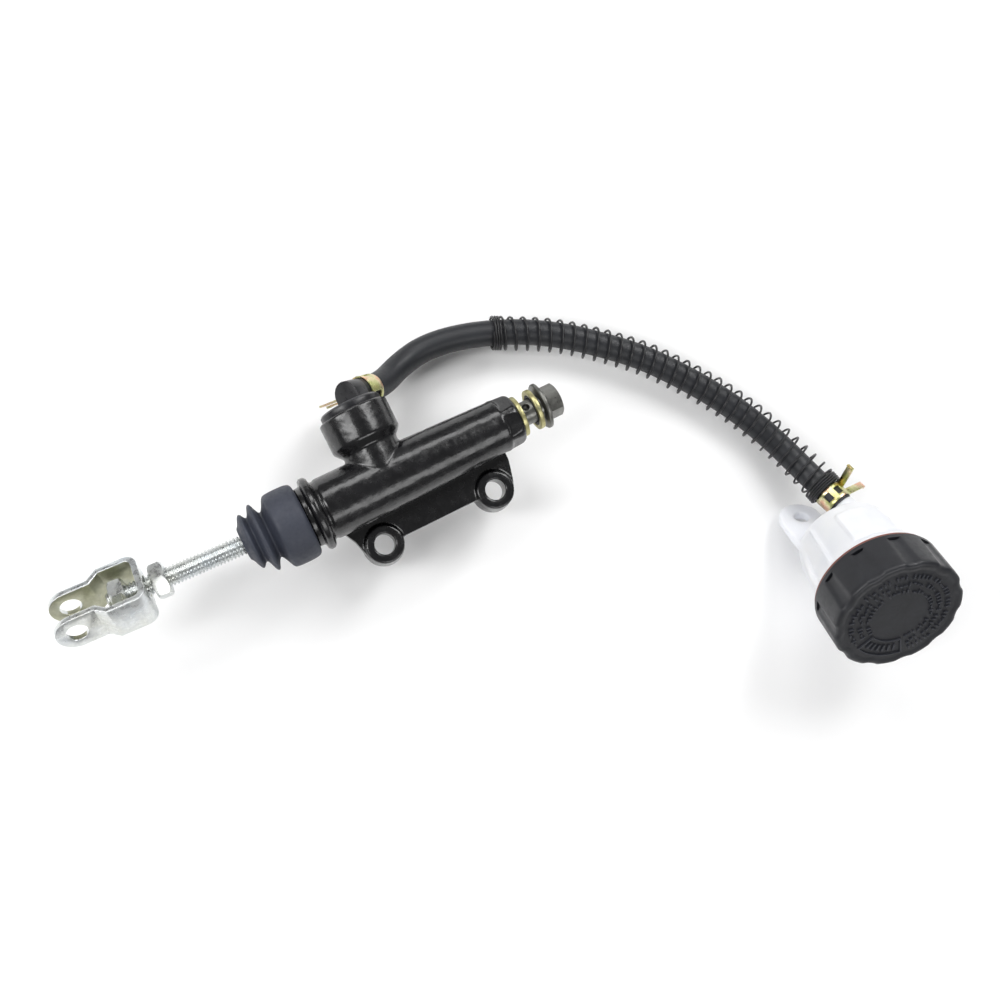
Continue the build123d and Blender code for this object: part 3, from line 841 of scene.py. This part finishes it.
RESERVOIR = reservoir_place()
WALL_TOP, WALL_BOTTOM = -23.5, -50.0
WALL_TOP_RADIUS, WALL_BOTTOM_RADIUS = 23.0, 20.5
SLAB_ROOT = -1.2
SLAB_STEPS = 10
RESERVOIR_VOXEL = 0.55
RESERVOIR_PASSES = 4
RIB_ANGLES = (30, 150, 210, 330)
RIB_HALF_ANGLE = 2.5


def wall_radius(z):
    """Outside radius of the reservoir's tapered wall at a height."""
    share = (WALL_TOP - z) / (WALL_TOP - WALL_BOTTOM)
    return WALL_TOP_RADIUS + (WALL_BOTTOM_RADIUS - WALL_TOP_RADIUS) * share


def wall_slab(bm, start, end, low, high, proud):
    """Raised panel on the reservoir's tapered wall, between two angles and two heights."""
    rows = []
    for z, depth in ((low, SLAB_ROOT), (low, proud), (high, proud), (high, SLAB_ROOT)):
        row = []
        for step in range(SLAB_STEPS + 1):
            angle = math.radians(start + (end - start) * step / SLAB_STEPS)
            r = wall_radius(z) + depth
            corner = RESERVOIR @ Vector((r * math.cos(angle), r * math.sin(angle), z))
            row.append(bm.verts.new(corner * MM))
        rows.append(row)
    grid(bm, rows, closed_rows=True, closed_columns=False)
    bm.faces.new([row[0] for row in rows])
    bm.faces.new([row[-1] for row in reversed(rows)])


def make_reservoir():
    """Translucent pot with a raised panel and four ribs."""
    bm = copy_of("reservoir_body")
    wall_slab(bm, 62, 118, -45.0, -27.0, 0.9)
    for angle in RIB_ANGLES:
        wall_slab(bm, angle - RIB_HALF_ANGLE, angle + RIB_HALF_ANGLE, -48.0, -23.0, 0.8)
    bmesh.ops.recalc_face_normals(bm, faces=bm.faces)
    obj = remeshed("milky_reservoir", "reservoir_body", RESERVOIR_VOXEL, RESERVOIR_PASSES, bm)
    shade(obj, 60.0)


CAP_RADIUS = 27.5
CAP_HEIGHT = 19.5
CAP_INNER_RADIUS = CAP_RADIUS - 2.6
CAP_INSIDE = -2.9
CAP_FACE = -0.35
FACE_FLOOR = CAP_FACE - 0.3
FACE_ROOT = CAP_FACE - 0.5
FACE_TOP = 0.0
CAP_FILLET = 1.7
FILLET_STEPS = 7
CAP_GRIPS = 11
GRIP_PHASE = 25.3
GRIP_COLUMNS = 36
GRIP_STOP = -17.2
GRIP_HALF, GRIP_WIDENING = 7.0, 2.0
GRIP_DEPTH = 0.8
SLOT_TOP = -16.3
SLOT_HALF = 4.6
SLOT_DEPTH = 1.0


def grip_depth(angle, z):
    """How far the skirt is cut back at an angle and height."""
    if z < GRIP_STOP:
        return 0.0
    pitch = 360.0 / CAP_GRIPS
    offset = (math.degrees(angle) - GRIP_PHASE + pitch / 2) % pitch - pitch / 2
    share = min(1.0, (z - GRIP_STOP) / -GRIP_STOP)
    near = abs(offset) / (GRIP_HALF + GRIP_WIDENING * share)
    cut = GRIP_DEPTH * (0.5 + 0.5 * math.cos(math.pi * near ** 1.4)) if near < 1 else 0.0
    if z < SLOT_TOP and abs(offset) < SLOT_HALF:
        cut += SLOT_DEPTH
    return cut


def cap_rows():
    """Radius, height and share of the grips, from inside the skirt round to the face."""
    base = -CAP_HEIGHT
    rows = [(CAP_INNER_RADIUS, CAP_INSIDE, 0), (CAP_INNER_RADIUS, base + 0.3, 0)]
    rows += [(CAP_INNER_RADIUS + 0.3, base, 0), (CAP_RADIUS - 0.4, base, 0)]
    rows += [(CAP_RADIUS, z, 0) for z in (base + 0.5, -18.2, GRIP_STOP - 0.02)]
    grip_heights = [GRIP_STOP, GRIP_STOP + 0.45, SLOT_TOP - 0.02, SLOT_TOP, -15.0]
    grip_heights += [-13.6 + index * 1.3 for index in range(9)]
    rows += [(CAP_RADIUS, z, 1) for z in grip_heights]
    for index in range(1, FILLET_STEPS + 1):
        angle = index / FILLET_STEPS * math.pi / 2
        inwards, down = CAP_FILLET * (1 - math.cos(angle)), CAP_FILLET * (1 - math.sin(angle))
        rows.append((CAP_RADIUS - inwards, CAP_FACE - down, 1))
    rows += [(24.9, CAP_FACE, 1), (24.0, FACE_FLOOR, 1), (23.4, FACE_FLOOR, 0.8)]
    rows += [(21.0, FACE_FLOOR, 0.3)]
    return rows + [(radius, FACE_FLOOR, 0) for radius in (16.0, 11.0, 6.0, 2.0)]


def face_bar(bm, radius, angle, width, length):
    """Raised bar on the cap's face with its length towards the centre and sloping sides."""
    turn = RESERVOIR @ Matrix.Rotation(math.radians(angle), 4, "Z")
    rows = []
    for z, grow in ((FACE_ROOT, 0.12), (FACE_TOP - 0.1, 0.06), (FACE_TOP, -0.04)):
        row = []
        for u, v in ((-1, -1), (1, -1), (1, 1), (-1, 1)):
            x = radius + u * (length / 2 + grow)
            y = v * (width / 2 + grow)
            row.append(bm.verts.new(turn @ Vector((x, y, z))))
        rows.append(row)
    grid(bm, rows)
    bm.faces.new(rows[-1])
    bm.faces.new(list(reversed(rows[0])))


def face_arc(bm, radius, start, end, width):
    """Raised arc on the cap's face, between two angles."""
    steps = int((end - start) / 4)
    inner, outer = radius - width / 2, radius + width / 2
    corners = ((inner, FACE_ROOT), (inner + 0.1, FACE_TOP))
    corners += ((outer - 0.1, FACE_TOP), (outer, FACE_ROOT))
    rows = []
    for step in range(steps + 1):
        angle = math.radians(start + (end - start) * step / steps)
        turn = RESERVOIR @ Matrix.Rotation(angle, 4, "Z")
        rows.append([bm.verts.new(turn @ Vector((r, 0, z))) for r, z in corners])
    grid(bm, rows)
    bm.faces.new(list(reversed(rows[0])))
    bm.faces.new(rows[-1])


PATTERN_SEED = 11
TICK_RINGS = ((20.6, 5.2, 1.9), (16.9, 6.4, 1.8), (13.4, 8.0, 1.6))
TICKS_START, TICKS_END = -66.0, 214.0
FRAME_RADII = (13.6, 21.2)
FRAME_ANGLES = (-134, -76)
FRAME_MIDDLE = 17.4
BAR_SPACING = 8
LINE_WIDTH = 0.5


def face_pattern(bm):
    """Rings of plain ticks in groups, and a framed arc."""
    draw = random.Random(PATTERN_SEED)
    for radius, spacing, size in TICK_RINGS:
        angle = TICKS_START
        while angle < TICKS_END:
            group = draw.randint(3, 7)
            for _ in range(group):
                if draw.random() < 0.3:
                    face_bar(bm, radius + draw.choice((-0.5, 0.0, 0.5)), angle, 1.3, 0.45)
                else:
                    face_bar(bm, radius, angle, LINE_WIDTH, size)
                angle += spacing
            angle += spacing * 0.8
    for radius in FRAME_RADII:
        face_arc(bm, radius, *FRAME_ANGLES, LINE_WIDTH)
    for angle in FRAME_ANGLES:
        face_bar(bm, FRAME_MIDDLE, angle, LINE_WIDTH, 7.8)
    for angle in range(FRAME_ANGLES[0] + BAR_SPACING, FRAME_ANGLES[1] - 2, BAR_SPACING):
        face_bar(bm, FRAME_MIDDLE, angle, 0.7, 3.2)


def make_cap():
    """Screw cap with shallow finger grips round its skirt."""
    bm = bmesh.new()
    columns = CAP_GRIPS * GRIP_COLUMNS
    rows = []
    for radius, z, share in cap_rows():
        row = []
        for column in range(columns):
            angle = column * math.tau / columns
            r = radius - grip_depth(angle, z) * share
            corner = Vector((r * math.cos(angle), r * math.sin(angle), z))
            row.append(bm.verts.new(RESERVOIR @ corner))
        rows.append(row)
    grid(bm, rows)
    close(bm, rows[0], RESERVOIR @ Vector((0, 0, CAP_INSIDE)))
    close(bm, rows[-1], RESERVOIR @ Vector((0, 0, FACE_FLOOR)))
    face_pattern(bm)
    put("screw_cap", bm, "reservoir_cap", 38.0)


# ---------------------------------------------------------------- all the pieces
LOWER_CLIP_AT = 14.1
UPPER_CLIP_AT = 4.6

make_casting()
make_push_rod()
make_boot()
make_return_spring()
make_clevis()
for nut in ("lock_nut", "clevis_nut"):
    rounded(nut + "_hex", nut, 0.22)
rounded("banjo_bolt_body", "banjo_bolt", 0.2)
rounded("elbow_moulding", "hose_elbow", 0.6, 3)
for side in ("inner", "outer"):
    washer = rounded(side + "_washer_ring", side + "_seal_washer", 0.25)
    washer.data.materials[0] = MATERIALS["washer_gold"]
    rounded(side + "_washer_rubber", side + "_seal_lip", 0.15)
guard = make_guard_spring()
make_clip("lower_clip", "lower_hose_clip", ELBOW + OUTLET * LOWER_CLIP_AT, OUTLET,
          tang=Vector((-0.70, 0.15, -0.70)), lean=0.0, reach=16.6, fold=0.3)
make_clip("upper_clip", "upper_hose_clip", HOSE_END - HOSE_END_DIRECTION * UPPER_CLIP_AT,
          HOSE_END_DIRECTION, tang=Vector((0.90, 0.31, 0.31)), lean=52.0, reach=12.4, fold=1.2)
make_reservoir()
make_cap()


# ---------------------------------------------------------------- floor and light
FLOOR_SIZE = 6.0
FLOOR_GAP = 0.0002
WORLD_STRENGTH = 0.2
LIGHT_TARGET = (0.02, -0.01, 0.0)
LIGHTS = (
    ("left_box", (-0.75, 0.3, 0.8), (0.3, 0.9), 6.6),
    ("right_box", (0.75, 0.4, 0.8), (0.35, 0.8), 6.6),
    ("rear_box", (0.0, 1.0, 0.95), (1.1, 0.4), 7.2),
    ("front_box", (0.05, -0.95, 0.95), (1.2, 0.5), 6.8),
)


def soft_light(name, place, size, power):
    """Rectangular light that faces the middle of the part; power is in watts."""
    data = bpy.data.lights.new(name, "AREA")
    data.shape = "RECTANGLE"
    data.size, data.size_y = size
    data.energy = power
    lamp = bpy.data.objects.new(name, data)
    lamp.location = place
    facing = Vector(LIGHT_TARGET) - Vector(place)
    lamp.rotation_euler = facing.to_track_quat("-Z", "Y").to_euler()
    bpy.context.scene.collection.objects.link(lamp)


def make_stage():
    bpy.ops.mesh.primitive_plane_add(size=FLOOR_SIZE, location=(0.0, 0.0, cad_low[2] - FLOOR_GAP))
    floor = bpy.context.object
    floor.name = "floor"
    material = bpy.data.materials.new("floor")
    material.use_nodes = True
    shader = material.node_tree.nodes["Principled BSDF"]
    shader.inputs["Base Color"].default_value = (0.95, 0.95, 0.95, 1)
    shader.inputs["Roughness"].default_value = 0.95
    shader.inputs["Specular IOR Level"].default_value = 0.0
    floor.data.materials.append(material)
    world = bpy.data.worlds.new("world")
    world.use_nodes = True
    background = world.node_tree.nodes["Background"]
    background.inputs["Color"].default_value = (1, 1, 1, 1)
    background.inputs["Strength"].default_value = WORLD_STRENGTH
    scene = bpy.context.scene
    scene.world = world
    scene.view_settings.view_transform = "Standard"
    for name, place, size, power in LIGHTS:
        soft_light(name, place, size, power)


make_stage()
